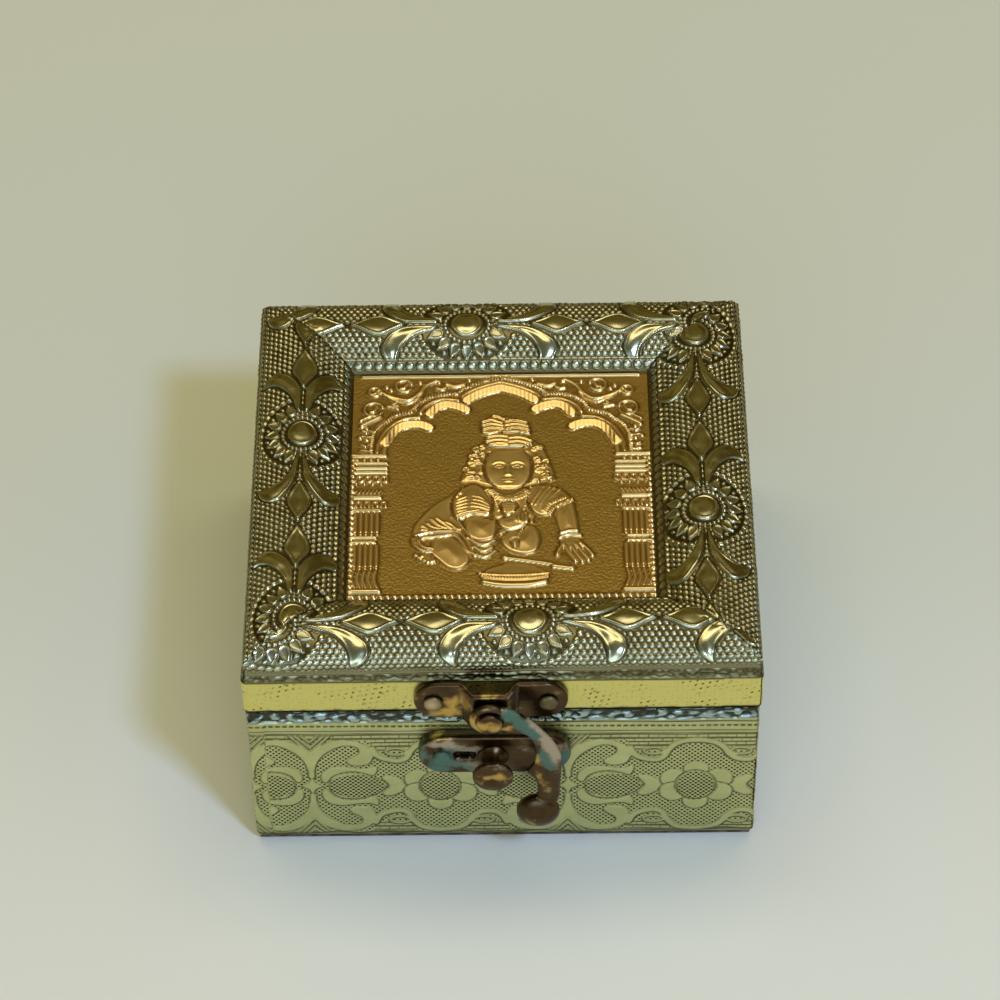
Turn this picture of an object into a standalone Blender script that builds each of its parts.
"""A keepsake box clad in embossed metal foil, with a swing hook clasp and two butt hinges.

The model is in metres with +Z up. The origin is on the surface that the box stands on, under the
middle of the carcass. The clasp faces -Y and the hinges are on the +Y side.
"""
import math

import bmesh
import bpy
from mathutils import Matrix, Vector

# Overall sizes
box_width = 0.0760
box_depth = 0.0760
base_height = 0.0296
lid_lift = 0.0006
band_height = 0.0066
base_setback = 0.0002

# Sizes that many pieces share
clearance = 0.0003
foil_thickness = 0.0003
cut_overrun = 0.0010
board_edge_round = 0.0002
wrap_corner_radius = 0.0008
least_corner_radius = 0.0001

# Base carcass, foil and linings
wall_thickness = 0.0040
floor_thickness = 0.0030
felt_thickness = 0.0008
felt_inset = 0.0006
velvet_thickness = 0.0006
rim_turn_in = 0.0030
foot_turn_in = 0.0050
wrap_seam_inset = 0.0070

# Lid carcass, foil and lining
rail_thickness = 0.0040
panel_thickness = 0.0020
band_turn_in = 0.0024
band_seam_inset = 0.0060

# Convex moulding round the lid and the picture plaque inside it
end_moulding_width = 0.0141
side_moulding_width = 0.0150
moulding_height = 0.0059
moulding_wall_height = 0.0028
moulding_crest_share = 0.5
moulding_rim_drop = 0.0025
moulding_rim_bevel = 0.0011
shoulder_steps = 7
slope_steps = 5
plaque_lift = 0.0021

# Clasp plate on the lid, with its bridge pressed out to carry the hook
clasp_offset = -0.0017
clasp_length = 0.0225
clasp_width = 0.0073
clasp_height_share = 0.47
clasp_thickness = 0.0008
clasp_nail_spacing = 0.0168
bridge_offset = -0.0002
bridge_foot = 0.0088
bridge_front = 0.0044
bridge_rise = 0.0024
bridge_steps = 6

# Hook, its rivet, and how far it overlaps the stud when it is closed
hook_thickness = 0.0012
hook_edge_round = 0.0003
hook_eye_radius = 0.0030
hook_end_radius = 0.0032
hook_end_thickness = 0.0036
hook_play = 0.0041
hook_hold = 0.0028
hook_side_clearance = 0.0004
hook_line_steps = 3
eye_proud = 0.0001
rivet_radius = 0.0011
rivet_head_radius = 0.0019
rivet_head_height = 0.0006

# Edges of the hook's arm: across and along the line from its eye to its end, as shares of it
arm_outer_shares = (
    (0.060, -0.100),
    (0.135, -0.065),
    (0.224, 0.046),
    (0.280, 0.188),
    (0.319, 0.330),
    (0.331, 0.430),
    (0.325, 0.520),
    (0.287, 0.634),
    (0.232, 0.774),
    (0.188, 0.890),
    (0.130, 0.985),
)
arm_inner_shares = (
    (0.020, 0.900),
    (0.049, 0.835),
    (0.080, 0.745),
    (0.088, 0.660),
    (0.063, 0.592),
    (0.100, 0.545),
    (0.143, 0.498),
    (0.180, 0.415),
    (0.198, 0.330),
    (0.189, 0.245),
    (0.150, 0.196),
    (0.089, 0.166),
    (0.030, 0.120),
)

# Keeper plate and stud on the base
keeper_offset = -0.0013
keeper_length = 0.0225
keeper_width = 0.0080
keeper_thickness = 0.0016
keeper_edge = 0.0004
keeper_drop = 0.0080
keeper_nail_spacing = 0.0156
keeper_slot_length = 0.0030
keeper_slot_width = 0.0015
keeper_slot_offset = -0.00445
stud_offset = -0.00025
stud_head_radius = 0.0030
stud_height = 0.0041
stud_shank_radius = 0.0010
stud_shank_length = 0.0030
stud_radius_shares = (0.0, 0.45, 0.80, 0.96, 1.0, 0.95, 0.74, 0.64, 0.62, 0.68, 0.84, 0.93)
stud_height_shares = (0.96, 0.97, 1.0, 0.96, 0.88, 0.79, 0.70, 0.56, 0.38, 0.22, 0.08, 0.0)

# Nails
nail_head_radius = 0.00140
nail_head_height = 0.0005
nail_radius = 0.00055
nail_length = 0.0042
nail_tip = 0.0010
pin_nail_head_radius = 0.00100
pin_nail_head_height = 0.0004
head_arc_steps = 3

# Butt hinges on the back
hinge_spacing = 0.0400
leaf_width = 0.0130
leaf_height = 0.0062
leaf_thickness = 0.0006
knuckle_radius = 0.0016
knuckle_proud = 0.0001
middle_knuckle_length = 0.0050
hinge_pin_radius = 0.0006
hinge_pin_head_radius = 0.0013
hinge_pin_head_height = 0.0005
leaf_nail_spacing = 0.0084
leaf_nail_drop = 0.0042

# How finely round pieces are divided
nail_steps = 12
hole_steps = 12
turned_steps = 20
knuckle_steps = 20
corner_steps = 3
end_arc_steps = 8
ball_segments = 16
ball_rings = 10

# Places that follow from the sizes
half_width = box_width / 2
half_depth = box_depth / 2
base_half_width = half_width - base_setback
base_half_depth = half_depth - base_setback
skin = foil_thickness + clearance
wall_outer_x = base_half_width - skin
wall_outer_y = base_half_depth - skin
wall_inner_x = wall_outer_x - wall_thickness
wall_inner_y = wall_outer_y - wall_thickness
felt_top = felt_thickness
foot_foil_middle = felt_top + clearance + foil_thickness / 2
floor_bottom = felt_top + clearance + skin
floor_top = floor_bottom + floor_thickness
wall_bottom = floor_top + clearance
wall_top = base_height - skin
rim_foil_middle = base_height - foil_thickness / 2
rim_foil_inset = 2 * skin + wall_thickness
velvet_outer_x = wall_inner_x - clearance
velvet_outer_y = wall_inner_y - clearance
velvet_floor_bottom = floor_top + clearance
velvet_floor_top = velvet_floor_bottom + velvet_thickness
velvet_wall_top = base_height - rim_turn_in - clearance

band_bottom = base_height + lid_lift
band_top = band_bottom + band_height
rail_outer_x = half_width - skin
rail_outer_y = half_depth - skin
rail_inner_x = rail_outer_x - rail_thickness
rail_inner_y = rail_outer_y - rail_thickness
rail_bottom = band_bottom + skin
rail_top = band_top - clearance
panel_half_width = rail_inner_x - clearance
panel_half_depth = rail_inner_y - clearance
panel_bottom = rail_top - panel_thickness
moulding_rim_height = moulding_height - moulding_rim_drop
opening_half_width = half_width - side_moulding_width
opening_half_depth = half_depth - end_moulding_width
plaque_top = band_top + plaque_lift
card_top = plaque_top - skin

clasp_z = band_bottom + band_height * clasp_height_share
clasp_face_y = -half_depth
bridge_face = clearance + clasp_thickness + bridge_rise
hook_back = bridge_face + clearance
hook_middle = hook_back + hook_thickness / 2
hook_front = hook_back + hook_thickness
pivot_x = clasp_offset + bridge_offset
pivot_y = clasp_face_y - hook_middle
pivot = Vector((pivot_x, pivot_y, clasp_z))
keeper_z = base_height - keeper_drop
stud_x = keeper_offset + stud_offset
stud_reach = stud_head_radius + hook_end_radius
hook_reach = clasp_z - keeper_z + stud_reach + hook_play
closed_lean = math.asin((stud_x - pivot_x + stud_reach - hook_hold) / hook_reach)
rest_lean = math.asin((stud_x - pivot_x + stud_reach + hook_side_clearance) / hook_reach)

hinge_y = half_depth + clearance + knuckle_radius
hinge_z = base_height + lid_lift / 2
hinge_axis = Vector((0, hinge_y, hinge_z))

FACING_FRONT = math.radians(90)
FACING_BACK = math.radians(-90)
SIDE_TURNS = {
    "front": math.radians(0),
    "right": math.radians(90),
    "back": math.radians(180),
    "left": math.radians(270),
}


# Scene, materials and placing

def clear_scene():
    for item in list(bpy.data.objects):
        bpy.data.objects.remove(item, do_unlink=True)


def new_collection(name):
    collection = bpy.data.collections.new(name)
    bpy.context.scene.collection.children.link(collection)
    return collection


def make_material(name, colour, roughness, metallic):
    material = bpy.data.materials.new(name)
    material.use_nodes = True
    shader = material.node_tree.nodes["Principled BSDF"]
    shader.inputs["Base Color"].default_value = (*colour, 1)
    shader.inputs["Roughness"].default_value = roughness
    shader.inputs["Metallic"].default_value = metallic
    return material


def place(item, location, parent=None, rotation=(0, 0, 0)):
    """Put an object at a place in the world, under an unturned parent."""
    item.parent = parent
    offset = parent.location if parent else Vector((0, 0, 0))
    item.location = Vector(location) - offset
    item.rotation_euler = rotation
    return item


def new_part(name, mesh, material):
    item = bpy.data.objects.new(name, mesh)
    mesh.materials.append(material)
    parts.objects.link(item)
    return item


def mesh_from(name, shape):
    """Turn a bmesh into a mesh with its faces pointing out."""
    bmesh.ops.recalc_face_normals(shape, faces=shape.faces)
    mesh = bpy.data.meshes.new(name)
    shape.to_mesh(mesh)
    shape.free()
    return mesh


def shade_round(item, angle=math.radians(40)):
    item.data.shade_smooth()
    item.data.set_sharp_from_angle(angle=angle)


def pivot_empty(name, location):
    empty = bpy.data.objects.new(name, None)
    parts.objects.link(empty)
    empty.location = location
    return empty


# Solids made by one operation

def board(name, low, high, material, parent=None):
    """A flat board between two corners, with its edges eased."""
    low, high = Vector(low), Vector(high)
    shape = bmesh.new()
    bmesh.ops.create_cube(shape, size=1)
    bmesh.ops.scale(shape, vec=high - low, verts=shape.verts)
    item = place(new_part(name, mesh_from(name, shape), material), (low + high) / 2, parent)
    easing = item.modifiers.new("eased edges", "BEVEL")
    easing.width = board_edge_round
    easing.segments = 1
    return item


def rounded_rectangle(half_x, half_z, radius, steps):
    """Corner points of a rectangle with round ends, anticlockwise."""
    points = []
    for corner in range(4):
        start = math.radians(90) * corner
        sign_x = 1 if corner in (0, 3) else -1
        sign_z = 1 if corner in (0, 1) else -1
        for step in range(steps + 1):
            angle = start + math.radians(90) * step / steps
            x = sign_x * (half_x - radius) + radius * math.cos(angle)
            z = sign_z * (half_z - radius) + radius * math.sin(angle)
            points.append((x, z))
    return points


def circle_points(radius, centre=(0, 0), steps=hole_steps):
    turns = [math.tau * step / steps for step in range(steps)]
    return [(centre[0] + radius * math.cos(t), centre[1] + radius * math.sin(t)) for t in turns]


def flat_mesh(name, outlines, thickness, edge_round=0):
    """A flat outline, with any holes in it, given its thickness and welded into one mesh."""
    curve = bpy.data.curves.new(name, "CURVE")
    curve.dimensions = "2D"
    curve.fill_mode = "BOTH"
    curve.extrude = thickness / 2 - edge_round
    curve.bevel_depth = edge_round
    curve.bevel_resolution = 1
    curve.offset = -edge_round
    for outline in outlines:
        spline = curve.splines.new("POLY")
        spline.points.add(len(outline) - 1)
        for point, (x, y) in zip(spline.points, outline):
            point.co = (x, y, 0, 1)
        spline.use_cyclic_u = True
    drawn = bpy.data.objects.new(name, curve)
    parts.objects.link(drawn)
    evaluated = drawn.evaluated_get(bpy.context.evaluated_depsgraph_get())
    mesh = bpy.data.meshes.new_from_object(evaluated)
    bpy.data.objects.remove(drawn)
    bpy.data.curves.remove(curve)
    shape = bmesh.new()
    shape.from_mesh(mesh)
    bmesh.ops.remove_doubles(shape, verts=shape.verts, dist=foil_thickness / 100)
    bpy.data.meshes.remove(mesh)
    return mesh_from(name, shape)


def turned(name, profile, steps, material):
    """A turned piece: its profile runs from the front of the axis down its outer side."""
    mesh = bpy.data.meshes.new(name)
    edges = [(i, i + 1) for i in range(len(profile) - 1)]
    mesh.from_pydata([(radius, 0, height) for radius, height in profile], edges, [])
    item = new_part(name, mesh, material)
    screw = item.modifiers.new("turned", "SCREW")
    screw.axis = "Z"
    screw.steps = steps
    screw.render_steps = steps
    screw.use_merge_vertices = True
    screw.merge_threshold = foil_thickness / 100
    screw.use_smooth_shade = True
    return item


def lofted_shell(name, rows, thickness, material, parent=None):
    """A sheet through rows of points, given its thickness equally on both sides."""
    shape = bmesh.new()
    lines = [[shape.verts.new(point) for point in row] for row in rows]
    for first, second in zip(lines, lines[1:]):
        for i in range(len(first) - 1):
            shape.faces.new((first[i], first[i + 1], second[i + 1], second[i]))
    item = place(new_part(name, mesh_from(name, shape), material), (0, 0, 0), parent)
    item.location = item.location if parent is None else -parent.location
    solid = item.modifiers.new("sheet thickness", "SOLIDIFY")
    solid.thickness = thickness
    solid.offset = 0
    solid.use_even_offset = True
    return item


# Cutting and joining

def as_cutter(item):
    item.hide_render = True
    item.display_type = "WIRE"
    return item


def add_boolean(item, other, operation):
    change = item.modifiers.new(f"{operation.lower()} {other.name}", "BOOLEAN")
    change.operation = operation
    change.solver = "EXACT"
    change.object = other


def drill(name, targets, centre, radius, length, rotation, steps=hole_steps):
    """Cut one straight round hole through several pieces."""
    shape = bmesh.new()
    bmesh.ops.create_cone(
        shape, cap_ends=True, segments=steps, radius1=radius, radius2=radius, depth=length
    )
    cutter = as_cutter(bpy.data.objects.new(name, mesh_from(name, shape)))
    cutters.objects.link(cutter)
    place(cutter, centre, None, rotation)
    for target in targets:
        add_boolean(target, cutter, "DIFFERENCE")
    return cutter


def helper_solid(name, mesh, location, rotation=(0, 0, 0)):
    """A solid that only shapes another piece and isn't a piece itself."""
    helper = as_cutter(bpy.data.objects.new(name, mesh))
    cutters.objects.link(helper)
    return place(helper, location, None, rotation)


# Foil wrapped round the carcass

def wrap_row(half_x, half_y, inset, height, seam_x):
    """One level of a wrapped strip, seen from above, from its seam on the front and round."""
    radius = max(wrap_corner_radius - inset, least_corner_radius)
    reach_x = half_x - inset
    reach_y = half_y - inset
    row = [(seam_x + clearance / 2, -reach_y, height)]
    for corner in range(4):
        sign_x = 1 if corner in (0, 1) else -1
        sign_y = 1 if corner in (1, 2) else -1
        for step in range(corner_steps + 1):
            angle = math.radians(90) * (corner - 1 + step / corner_steps)
            x = sign_x * (reach_x - radius) + radius * math.cos(angle)
            y = sign_y * (reach_y - radius) + radius * math.sin(angle)
            row.append((x, y, height))
    row.append((seam_x - clearance / 2, -reach_y, height))
    return row


def wrapped_foil(name, half_x, half_y, profile, seam_x, material, parent=None):
    """A foil strip carried round the four sides; the profile gives its insets and heights."""
    middle_x = half_x - foil_thickness / 2
    middle_y = half_y - foil_thickness / 2
    rows = [wrap_row(middle_x, middle_y, inset, height, seam_x) for inset, height in profile]
    return lofted_shell(name, rows, foil_thickness, material, parent)


# Mitred strips of the lid's moulding

def moulding_profile(width):
    """Outer line of the foil: a plain wall, a round shoulder, a falling slope and a bevel.

    Each point is the distance in from the box's side and the height above the band.
    """
    crest = width * moulding_crest_share
    rim = width - moulding_rim_bevel
    rise = moulding_height - moulding_wall_height
    points = [(0, clearance)]
    for step in range(shoulder_steps + 1):
        angle = math.radians(90) * step / shoulder_steps
        points.append((crest * (1 - math.cos(angle)), moulding_wall_height + rise * math.sin(angle)))
    for step in range(1, slope_steps + 1):
        share = step / slope_steps
        points.append((crest + (rim - crest) * share, moulding_height - moulding_rim_drop * share**2))
    points.append((width, plaque_lift + clearance))
    return points


def inset_line(points, distance):
    """The line that runs a fixed distance under another, on its right-hand side."""
    inset = []
    for i, point in enumerate(points):
        before = Vector(points[max(i - 1, 0)])
        here = Vector(point)
        after = Vector(points[min(i + 1, len(points) - 1)])
        incoming = (here - before).normalized() if i > 0 else (after - here).normalized()
        outgoing = (after - here).normalized() if i < len(points) - 1 else incoming
        normal = Vector((incoming.y + outgoing.y, -incoming.x - outgoing.x)).normalized()
        reach = distance / normal.dot(Vector((incoming.y, -incoming.x)))
        inset.append(tuple(here + normal * reach))
    return inset


def mitred_strip(name, section, side, material):
    """Carry a section along one side of the lid and mitre its ends to the corners."""
    on_end = side in ("front", "back")
    half_length = half_width if on_end else half_depth
    reach = half_depth if on_end else half_width
    width = end_moulding_width if on_end else side_moulding_width
    neighbour = side_moulding_width if on_end else end_moulding_width
    shape = bmesh.new()
    outline = [shape.verts.new((-half_length, inward, height)) for inward, height in section]
    face = shape.faces.new(outline)
    grown = bmesh.ops.extrude_face_region(shape, geom=[face])
    moved = [item for item in grown["geom"] if isinstance(item, bmesh.types.BMVert)]
    bmesh.ops.translate(shape, verts=moved, vec=(2 * half_length, 0, 0))
    for sign in (-1, 1):
        cut = bmesh.ops.bisect_plane(
            shape,
            geom=shape.verts[:] + shape.edges[:] + shape.faces[:],
            plane_co=(sign * (half_length - clearance / 2), 0, 0),
            plane_no=(sign * width, neighbour, 0),
            clear_outer=True,
        )
        edges = [item for item in cut["geom_cut"] if isinstance(item, bmesh.types.BMEdge)]
        bmesh.ops.contextual_create(shape, geom=edges)
    item = new_part(name, mesh_from(name, shape), material)
    turn = SIDE_TURNS[side]
    outer_face = Matrix.Rotation(turn, 4, "Z") @ Vector((0, -reach, 0))
    place(item, outer_face + Vector((0, 0, band_top)), lid_pivot, (0, 0, turn))
    shade_round(item)
    return item


def strip_width(side):
    return end_moulding_width if side in ("front", "back") else side_moulding_width


def moulding_core(side):
    """The wooden moulding under the foil."""
    under = inset_line(moulding_profile(strip_width(side)), skin)
    section = [(under[0][0], 0), *under[1:], (under[-1][0], 0)]
    return mitred_strip(f"{side}_moulding", section, side, material_board)


def moulding_foil(side):
    """The embossed foil drawn over the moulding."""
    line = moulding_profile(strip_width(side))
    section = line + inset_line(line, foil_thickness)[::-1]
    return mitred_strip(f"{side}_moulding_foil", section, side, material_antique)


# Nails, stud and rivet

def dome(radius, height, base):
    """A low dome from its middle out to its edge."""
    turns = [math.radians(90) * step / head_arc_steps for step in range(head_arc_steps + 1)]
    return [(radius * math.sin(t), base + height * math.cos(t)) for t in turns]


def nail(name, location, rotation, head_radius, head_height, material, parent=None):
    """A nail with a domed head; its place is where the head sits on its plate."""
    profile = dome(head_radius, head_height, clearance)
    profile.append((nail_radius, clearance))
    profile.append((nail_radius, nail_tip - nail_length))
    profile.append((0, -nail_length))
    item = turned(name, profile, nail_steps, material)
    return place(item, location, parent, rotation)


def keeper_stud():
    """The mushroom stud that the hook's end catches under."""
    foot = clearance + keeper_thickness + clearance
    profile = [
        (stud_head_radius * radius, foot + stud_height * height)
        for radius, height in zip(stud_radius_shares, stud_height_shares)
    ]
    profile.append((stud_shank_radius, foot))
    profile.append((stud_shank_radius, -stud_shank_length))
    profile.append((0, -stud_shank_length))
    item = turned("keeper_stud", profile, turned_steps, material_clasp)
    return place(item, (stud_x, -base_half_depth, keeper_z), None, (FACING_FRONT, 0, 0))


def pivot_rivet():
    """The rivet that the hook turns on, headed in front of the eye and behind the bridge."""
    front = hook_front + clearance
    back = clearance + bridge_rise - clearance
    profile = dome(rivet_head_radius, rivet_head_height, front)
    profile.append((rivet_radius, front))
    profile.append((rivet_radius, back))
    profile.append((rivet_head_radius, back))
    profile.append((rivet_head_radius, back - rivet_head_height))
    profile.append((0, back - rivet_head_height))
    item = turned("pivot_rivet", profile, turned_steps, material_clasp)
    return place(item, (pivot_x, clasp_face_y, clasp_z), lid_pivot, (FACING_FRONT, 0, 0))


# Clasp plate, hook and keeper plate

def bridge_line():
    """The clasp plate seen from above: flat wings and a bridge that swells out between them."""
    half_foot = bridge_foot / 2
    half_front = bridge_front / 2
    rising = []
    for step in range(bridge_steps + 1):
        share = step / bridge_steps
        along = -half_foot + (half_foot - half_front) * share
        rising.append((along, bridge_rise * (1 - math.cos(math.pi * share)) / 2))
    falling = [(-along, out) for along, out in reversed(rising)]
    half_length = clasp_length / 2 + cut_overrun
    line = [(-half_length - bridge_offset, 0), *rising, *falling, (half_length - bridge_offset, 0)]
    return [(along + bridge_offset, out) for along, out in line]


def clasp_plate():
    """A pressed plate: the bent strip, cut to a long shape with round ends."""
    reach = clasp_width / 2 + cut_overrun
    middle = clearance + clasp_thickness / 2
    rows = [
        [(clasp_offset + along, clasp_face_y - middle - out, clasp_z + up) for along, out in bridge_line()]
        for up in (-reach, reach)
    ]
    item = lofted_shell("clasp_plate", rows, clasp_thickness, material_clasp, lid_pivot)
    outline = rounded_rectangle(clasp_length / 2, clasp_width / 2, clasp_width / 2, end_arc_steps)
    depth = 2 * (bridge_face + cut_overrun)
    blank = flat_mesh("clasp outline", [outline], depth)
    cutter = helper_solid(
        "clasp outline", blank, (clasp_offset, clasp_face_y, clasp_z), (FACING_FRONT, 0, 0)
    )
    add_boolean(item, cutter, "INTERSECT")
    return item


def keeper_plate():
    """A flat plate with a small slot beside the stud, and holes for its nails and the stud."""
    outline = rounded_rectangle(keeper_length / 2, keeper_width / 2, keeper_width / 2, end_arc_steps)
    half_slot = keeper_slot_length / 2
    slot = [
        (keeper_slot_offset + sign_x * half_slot, sign_z * keeper_slot_width / 2)
        for sign_x, sign_z in ((-1, -1), (1, -1), (1, 1), (-1, 1))
    ]
    holes = [
        circle_points(nail_radius + clearance, (sign * keeper_nail_spacing / 2, 0)) for sign in (-1, 1)
    ]
    stud_hole = circle_points(stud_shank_radius + clearance, (stud_offset, 0))
    mesh = flat_mesh("keeper_plate", [outline, slot, stud_hole, *holes], keeper_thickness)
    item = new_part("keeper_plate", mesh, material_clasp)
    pressed = item.modifiers.new("pressed edges", "BEVEL")
    pressed.width = keeper_edge
    pressed.segments = 2
    pressed.angle_limit = math.radians(60)
    front = -base_half_depth - clearance - keeper_thickness / 2
    return place(item, (keeper_offset, front, keeper_z), None, (FACING_FRONT, 0, 0))


def smooth_line(points, steps):
    """A smooth line through a row of points, with more points between each two of them."""
    rows = [points[0], *points, points[-1]]
    line = []
    for before, start, end, after in zip(rows, rows[1:], rows[2:], rows[3:]):
        for step in range(steps):
            t = step / steps
            weights = (
                (2 * t * t - t - t**3) / 2,
                (3 * t**3 - 5 * t * t + 2) / 2,
                (4 * t * t + t - 3 * t**3) / 2,
                (t**3 - t * t) / 2,
            )
            nodes = (before, start, end, after)
            line.append(tuple(sum(w * node[axis] for w, node in zip(weights, nodes)) for axis in (0, 1)))
    return [*line, tuple(points[-1])]


def arm_outline():
    """The hook's bowed arm, from the eye at the origin to its end straight below.

    Its outer edge is a long bow, and its inner edge has the tooth that reaches under the stud.
    """
    edges = smooth_line(arm_outer_shares, hook_line_steps) + smooth_line(arm_inner_shares, hook_line_steps)
    return [(across * hook_reach, -along * hook_reach) for across, along in edges]


def hook():
    """The swing hook: an eye, a bowed arm and a heavy round end.

    It rests swung just far enough for its end to pass the stud when the lid opens.
    """
    arm = flat_mesh("hook", [arm_outline()], hook_thickness, hook_edge_round)
    item = new_part("hook", arm, material_clasp)
    rotation = Matrix.Rotation(-rest_lean, 4, "Y") @ Matrix.Rotation(FACING_FRONT, 4, "X")
    place(item, pivot, lid_pivot, rotation.to_euler())
    eye = bmesh.new()
    bmesh.ops.create_cone(
        eye,
        cap_ends=True,
        segments=turned_steps,
        radius1=hook_eye_radius,
        radius2=hook_eye_radius,
        depth=hook_thickness + 2 * eye_proud,
    )
    eye_solid = helper_solid("hook eye", mesh_from("hook eye", eye), pivot, (FACING_FRONT, 0, 0))
    add_boolean(item, eye_solid, "UNION")
    end = bmesh.new()
    bmesh.ops.create_uvsphere(end, u_segments=ball_segments, v_segments=ball_rings, radius=1)
    bmesh.ops.scale(
        end, vec=(hook_end_radius, hook_end_radius, hook_end_thickness / 2), verts=end.verts
    )
    end_place = rotation @ Vector((0, -hook_reach, 0)) + pivot
    end_solid = helper_solid("hook end", mesh_from("hook end", end), end_place, (FACING_FRONT, 0, 0))
    add_boolean(item, end_solid, "UNION")
    drill(
        "hook bore",
        [item],
        pivot,
        rivet_radius + clearance,
        hook_thickness + 2 * cut_overrun,
        (FACING_FRONT, 0, 0),
        turned_steps,
    )
    shade_round(item)
    return item


# Butt hinges

def barrel_solid(name, centre, length):
    shape = bmesh.new()
    bmesh.ops.create_cone(
        shape,
        cap_ends=True,
        segments=knuckle_steps,
        radius1=knuckle_radius,
        radius2=knuckle_radius,
        depth=length,
    )
    return helper_solid(name, mesh_from(name, shape), centre, (0, math.radians(90), 0))


def hinge_leaf(name, centre, outline, barrels, parent):
    """A leaf: its flat outline, with the barrels joined on and bored for the pin."""
    item = new_part(name, flat_mesh(name, [outline], leaf_thickness), material_hinge)
    back_of_barrel = Vector((0, knuckle_radius - leaf_thickness / 2, 0))
    place(item, centre - back_of_barrel, parent, (FACING_FRONT, 0, 0))
    for i, (middle, length) in enumerate(barrels):
        barrel = barrel_solid(f"{name} barrel {i}", centre + Vector((middle, 0, 0)), length)
        add_boolean(item, barrel, "UNION")
    bore_length = leaf_width + 2 * cut_overrun
    bore_radius = hinge_pin_radius + clearance
    bore = (0, math.radians(90), 0)
    drill(f"{name} bore", [item], centre, bore_radius, bore_length, bore, knuckle_steps)
    shade_round(item)
    return item


def hinge_pin(name, centre):
    """The pin, headed at both ends so that it stays in the barrels."""
    half = leaf_width / 2 + clearance
    profile = [
        (0, half + hinge_pin_head_height),
        (hinge_pin_head_radius, half + hinge_pin_head_height),
        (hinge_pin_head_radius, half),
        (hinge_pin_radius, half),
        (hinge_pin_radius, -half),
        (hinge_pin_head_radius, -half),
        (hinge_pin_head_radius, -half - hinge_pin_head_height),
        (0, -half - hinge_pin_head_height),
    ]
    item = turned(name, profile, nail_steps, material_hinge)
    return place(item, centre, None, (0, math.radians(90), 0))


def butt_hinge(side, sign):
    """One hinge: a leaf on the base, a leaf on the lid, the pin, and two nails in each leaf."""
    centre = Vector((sign * hinge_spacing / 2, hinge_y, hinge_z))
    half = leaf_width / 2
    half_middle = middle_knuckle_length / 2
    gap_edge = half_middle + clearance
    tongue = half_middle - knuckle_proud
    shoulder = gap_edge + knuckle_proud
    edge = half - knuckle_proud
    root = leaf_thickness / 2
    notch = knuckle_radius + clearance
    base_outline = [
        (-edge, -leaf_height),
        (edge, -leaf_height),
        (edge, -root),
        (shoulder, -root),
        (shoulder, -notch),
        (-shoulder, -notch),
        (-shoulder, -root),
        (-edge, -root),
    ]
    lid_outline = [
        (-tongue, root),
        (tongue, root),
        (tongue, notch + knuckle_proud),
        (edge, notch),
        (edge, leaf_height),
        (-edge, leaf_height),
        (-edge, notch),
        (-tongue, notch + knuckle_proud),
    ]
    end_length = half - gap_edge
    end_middle = (half + gap_edge) / 2
    ends = [(-end_middle, end_length), (end_middle, end_length)]
    base_leaf = hinge_leaf(f"{side}_hinge_base_leaf", centre, base_outline, ends, None)
    middle = [(0, middle_knuckle_length)]
    lid_leaf = hinge_leaf(f"{side}_hinge_lid_leaf", centre, lid_outline, middle, lid_pivot)
    hinge_pin(f"{side}_hinge_pin", centre)
    nail_face = half_depth + clearance + leaf_thickness
    for end, offset in (("inner", -sign), ("outer", sign)):
        x = centre.x + offset * leaf_nail_spacing / 2
        low = (x, nail_face, hinge_z - leaf_nail_drop)
        high = (x, nail_face, hinge_z + leaf_nail_drop)
        nailed(f"{side}_{end}_base_hinge_nail", low, FACING_BACK, base_leaf, base_back, None)
        nailed(f"{side}_{end}_lid_hinge_nail", high, FACING_BACK, lid_leaf, lid_back, lid_pivot)


def nailed(name, location, facing, plate, layers, parent):
    """Drive a nail through a plate and the foil and board behind it."""
    large = plate.name in ("clasp_plate", "keeper_plate")
    head_radius = nail_head_radius if large else pin_nail_head_radius
    head_height = nail_head_height if large else pin_nail_head_height
    material = material_nail if large else material_hinge
    rotation = (facing, 0, 0)
    nail(name, location, rotation, head_radius, head_height, material, parent)
    targets = list(layers) if plate.name == "keeper_plate" else [plate, *layers]
    length = 2 * (nail_length + clearance)
    drill(f"{name} hole", targets, location, nail_radius + clearance, length, rotation)


# Build

clear_scene()
parts = new_collection("embossed_box")
cutters = new_collection("cutters")
lid_pivot = pivot_empty("lid_pivot", hinge_axis)

material_board = make_material("fibreboard", (0.50, 0.37, 0.23), 0.80, 0.0)
material_antique = make_material("antique brass foil", (0.33, 0.26, 0.10), 0.34, 1.0)
material_band = make_material("bright gold foil", (0.66, 0.60, 0.22), 0.30, 1.0)
material_side = make_material("pale gold foil", (0.50, 0.52, 0.24), 0.38, 1.0)
material_plaque = make_material("copper gold foil", (0.72, 0.44, 0.16), 0.30, 1.0)
material_velvet = make_material("maroon velvet", (0.22, 0.015, 0.03), 0.90, 0.0)
material_felt = make_material("dark felt", (0.06, 0.05, 0.045), 0.95, 0.0)
material_card = make_material("grey card", (0.46, 0.42, 0.35), 0.85, 0.0)
material_clasp = make_material("aged brass", (0.26, 0.19, 0.10), 0.42, 1.0)
material_hinge = make_material("yellow brass", (0.60, 0.45, 0.20), 0.35, 1.0)
material_nail = make_material("worn nail brass", (0.46, 0.38, 0.25), 0.40, 1.0)

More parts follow.
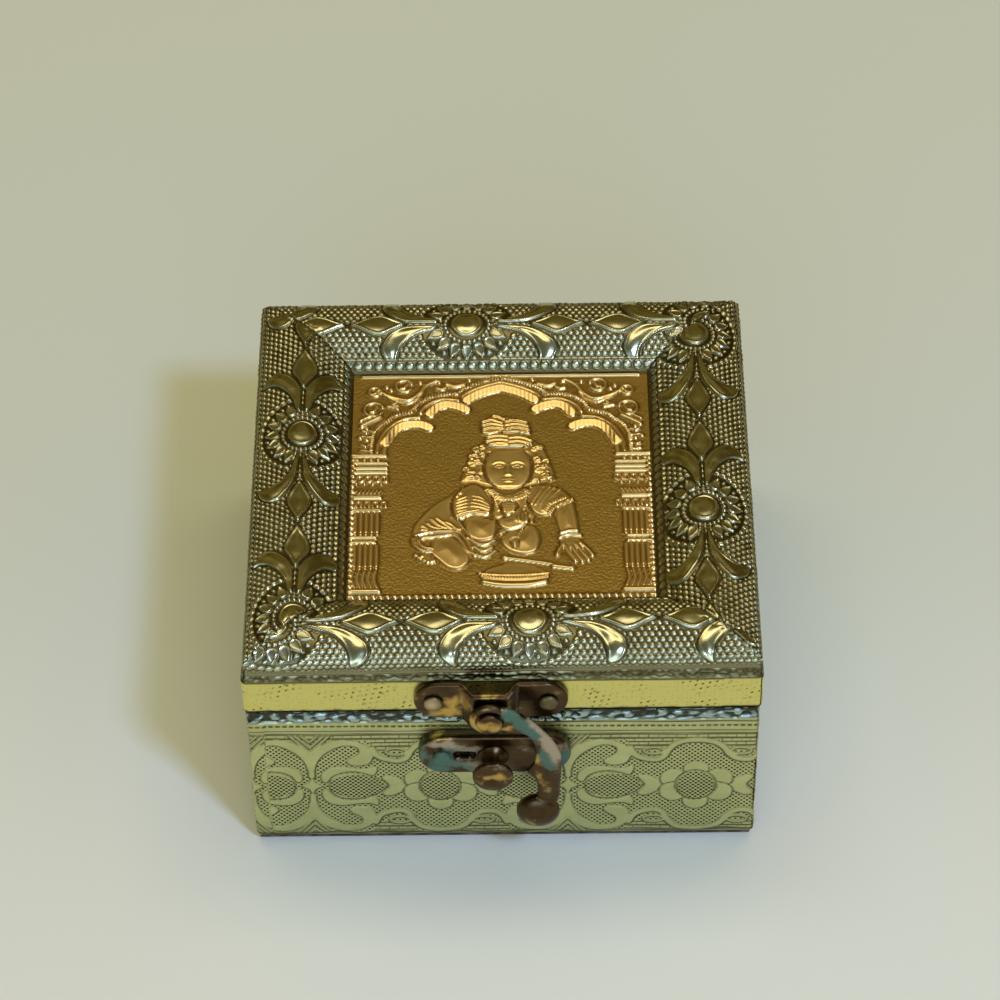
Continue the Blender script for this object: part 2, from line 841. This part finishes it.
# The base: a felt pad, a floor board and four walls
base_felt = board(
    "base_felt",
    (-base_half_width + felt_inset, -base_half_depth + felt_inset, 0),
    (base_half_width - felt_inset, base_half_depth - felt_inset, felt_top),
    material_felt,
)
floor_board = board(
    "floor_board",
    (-wall_outer_x, -wall_outer_y, floor_bottom),
    (wall_outer_x, wall_outer_y, floor_top),
    material_board,
)
front_wall = board(
    "front_wall",
    (-wall_outer_x, -wall_outer_y, wall_bottom),
    (wall_outer_x, -wall_inner_y, wall_top),
    material_board,
)
back_wall = board(
    "back_wall",
    (-wall_outer_x, wall_inner_y, wall_bottom),
    (wall_outer_x, wall_outer_y, wall_top),
    material_board,
)
for wall_name, sign in (("left_wall", -1), ("right_wall", 1)):
    near, far = sorted((sign * wall_inner_x, sign * wall_outer_x))
    board(
        wall_name,
        (near, -wall_inner_y + clearance, wall_bottom),
        (far, wall_inner_y - clearance, wall_top),
        material_board,
    )

# The side foil goes under the floor, up the sides, over the rim and a little way down inside
side_foil = wrapped_foil(
    "side_foil",
    base_half_width,
    base_half_depth,
    [
        (foot_turn_in, foot_foil_middle),
        (0, foot_foil_middle),
        (0, rim_foil_middle),
        (rim_foil_inset - foil_thickness, rim_foil_middle),
        (rim_foil_inset - foil_thickness, base_height - rim_turn_in),
    ],
    -base_half_width + wrap_seam_inset,
    material_side,
)

# Velvet on card lines the floor, and one strip of it lines the walls
board(
    "floor_lining",
    (-velvet_outer_x, -velvet_outer_y, velvet_floor_bottom),
    (velvet_outer_x, velvet_outer_y, velvet_floor_top),
    material_velvet,
)
velvet_middle = velvet_thickness / 2
lining_rows = [
    wrap_row(velvet_outer_x, velvet_outer_y, velvet_middle, height, 0)
    for height in (velvet_floor_top + clearance, velvet_wall_top)
]
lofted_shell("wall_lining", lining_rows, velvet_thickness, material_velvet)

# The lid: four rails with a panel between them, and the band foil round the rails
front_rail = board(
    "front_rail",
    (-rail_outer_x, -rail_outer_y, rail_bottom),
    (rail_outer_x, -rail_inner_y, rail_top),
    material_board,
    lid_pivot,
)
back_rail = board(
    "back_rail",
    (-rail_outer_x, rail_inner_y, rail_bottom),
    (rail_outer_x, rail_outer_y, rail_top),
    material_board,
    lid_pivot,
)
for rail_name, sign in (("left_rail", -1), ("right_rail", 1)):
    near, far = sorted((sign * rail_inner_x, sign * rail_outer_x))
    board(
        rail_name,
        (near, -rail_inner_y + clearance, rail_bottom),
        (far, rail_inner_y - clearance, rail_top),
        material_board,
        lid_pivot,
    )
board(
    "lid_panel",
    (-panel_half_width, -panel_half_depth, panel_bottom),
    (panel_half_width, panel_half_depth, rail_top),
    material_board,
    lid_pivot,
)
lid_lining_top = panel_bottom - clearance
board(
    "lid_lining",
    (-panel_half_width + skin, -panel_half_depth + skin, lid_lining_top - velvet_thickness),
    (panel_half_width - skin, panel_half_depth - skin, lid_lining_top),
    material_velvet,
    lid_pivot,
)
band_foil = wrapped_foil(
    "band_foil",
    half_width,
    half_depth,
    [
        (0, band_top),
        (0, band_bottom + foil_thickness / 2),
        (2 * skin + rail_thickness - foil_thickness, band_bottom + foil_thickness / 2),
        (2 * skin + rail_thickness - foil_thickness, band_bottom + band_turn_in),
    ],
    half_width - band_seam_inset,
    material_band,
    lid_pivot,
)

# The moulding, its embossed foil, and the picture plaque on its card
for side_name in SIDE_TURNS:
    moulding_core(side_name)
    moulding_foil(side_name)
card_half_width = opening_half_width - clearance
card_half_depth = opening_half_depth - clearance
board(
    "plaque_card",
    (-card_half_width, -card_half_depth, band_top),
    (card_half_width, card_half_depth, card_top),
    material_card,
    lid_pivot,
)
board(
    "plaque",
    (-card_half_width, -card_half_depth, plaque_top - foil_thickness),
    (card_half_width, card_half_depth, plaque_top),
    material_plaque,
    lid_pivot,
)

# The clasp on the front
clasp = clasp_plate()
pivot_rivet()
drill(
    "rivet hole",
    [clasp],
    (pivot_x, clasp_face_y, clasp_z),
    rivet_radius + clearance,
    2 * (bridge_face + cut_overrun),
    (FACING_FRONT, 0, 0),
    turned_steps,
)
hook()
keeper = keeper_plate()
keeper_stud()
drill(
    "stud hole",
    [side_foil, front_wall],
    (stud_x, -base_half_depth, keeper_z),
    stud_shank_radius + clearance,
    2 * (stud_shank_length + clearance),
    (FACING_FRONT, 0, 0),
)
for end_name, sign in (("left", -1), ("right", 1)):
    clasp_nail_x = clasp_offset + sign * clasp_nail_spacing / 2
    clasp_nail_y = -half_depth - clearance - clasp_thickness
    nailed(
        f"{end_name}_clasp_nail",
        (clasp_nail_x, clasp_nail_y, clasp_z),
        FACING_FRONT,
        clasp,
        (band_foil, front_rail),
        lid_pivot,
    )
    keeper_nail_x = keeper_offset + sign * keeper_nail_spacing / 2
    keeper_nail_y = -base_half_depth - clearance - keeper_thickness
    nailed(
        f"{end_name}_keeper_nail",
        (keeper_nail_x, keeper_nail_y, keeper_z),
        FACING_FRONT,
        keeper,
        (side_foil, front_wall),
        None,
    )

# The hinges on the back
base_back = (side_foil, back_wall)
lid_back = (band_foil, back_rail)
butt_hinge("left", -1)
butt_hinge("right", 1)
